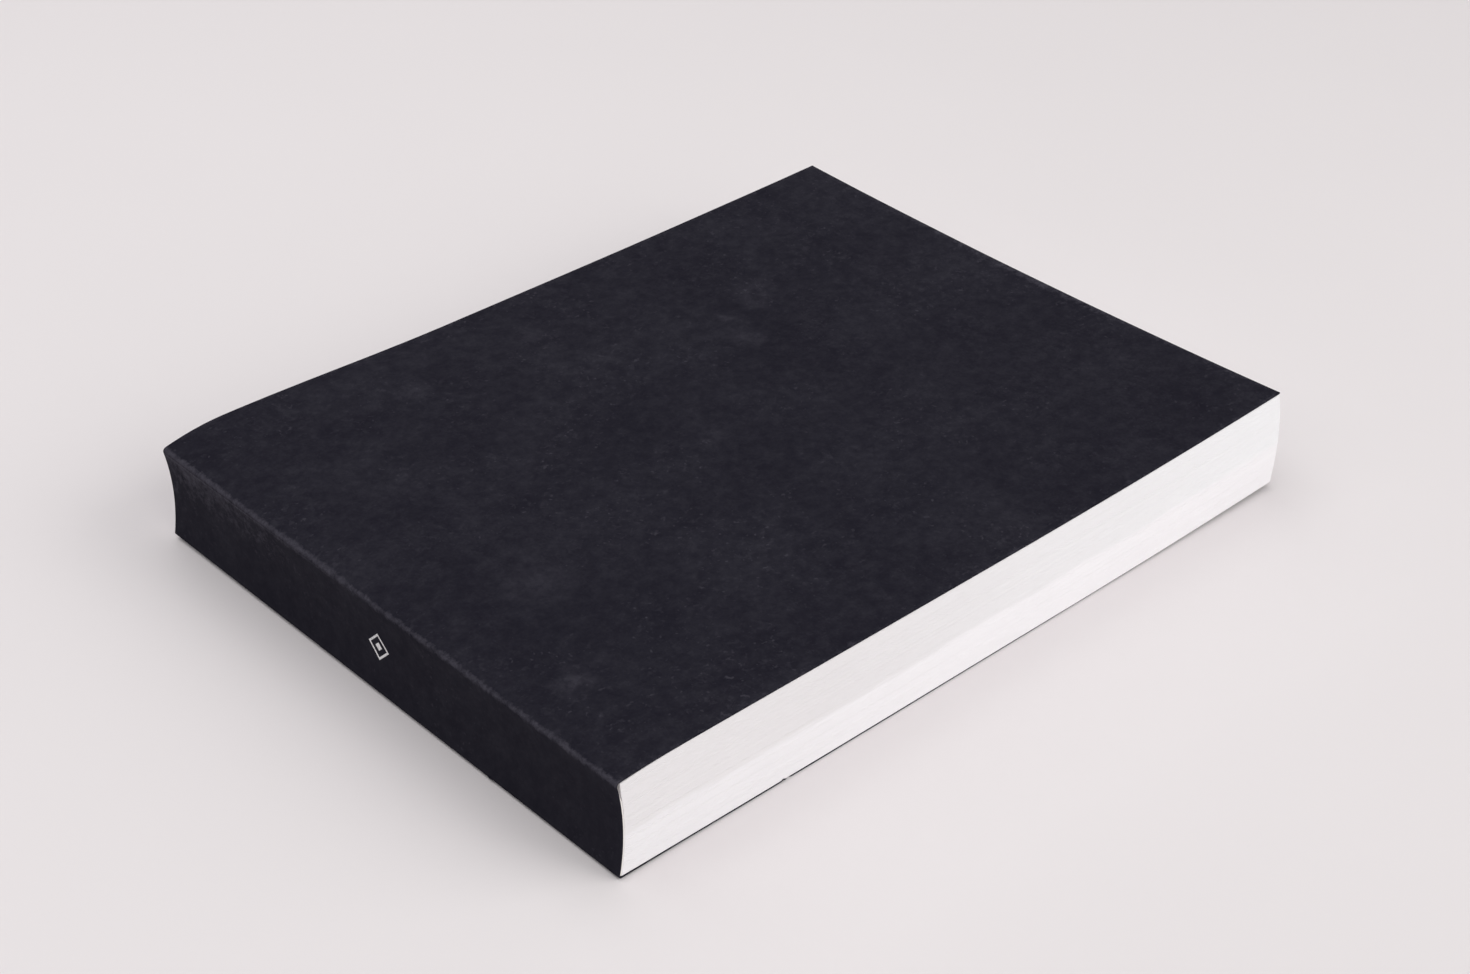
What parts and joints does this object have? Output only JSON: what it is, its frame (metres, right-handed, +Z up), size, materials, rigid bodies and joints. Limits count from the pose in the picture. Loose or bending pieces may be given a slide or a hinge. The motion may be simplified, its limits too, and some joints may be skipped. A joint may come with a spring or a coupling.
{
  "type": "soft-cover book",
  "caption": "Thick soft-cover book in landscape format with a plain black card cover, hollow-curved spine, trimmed white page block and two covers that hinge open at the spine folds.",
  "frame": {"origin": "centre of the closed book's footprint, on the plane that it lies on", "axes": "+X from the spine to the fore-edge, +Y along the spine from tail to head, +Z up out of the front cover"},
  "size_m": [0.2486, 0.188, 0.0326],
  "materials": {
    "cover_card": "matte",
    "page_paper": "matte",
    "binding_glue": "satin"
  },
  "bodies": {
    "book_block": {"page_block": "page_paper", "spine_glue": "binding_glue", "spine_cover": "cover_card"},
    "front_cover": {"front_cover": "cover_card"},
    "back_cover": {"back_cover": "cover_card"}
  },
  "joints": [
    {"name": "front_cover_hinge", "type": "hinge", "parent": "book_block", "child": "front_cover", "pos_m": [-0.12427, 0, 0.0286], "axis": [0, -1, 0], "range_deg": [0, 180]},
    {"name": "back_cover_hinge", "type": "hinge", "parent": "book_block", "child": "back_cover", "pos_m": [-0.12387, 0, 0.0016], "axis": [0, 1, 0], "range_deg": [0, 180]}
  ]
}
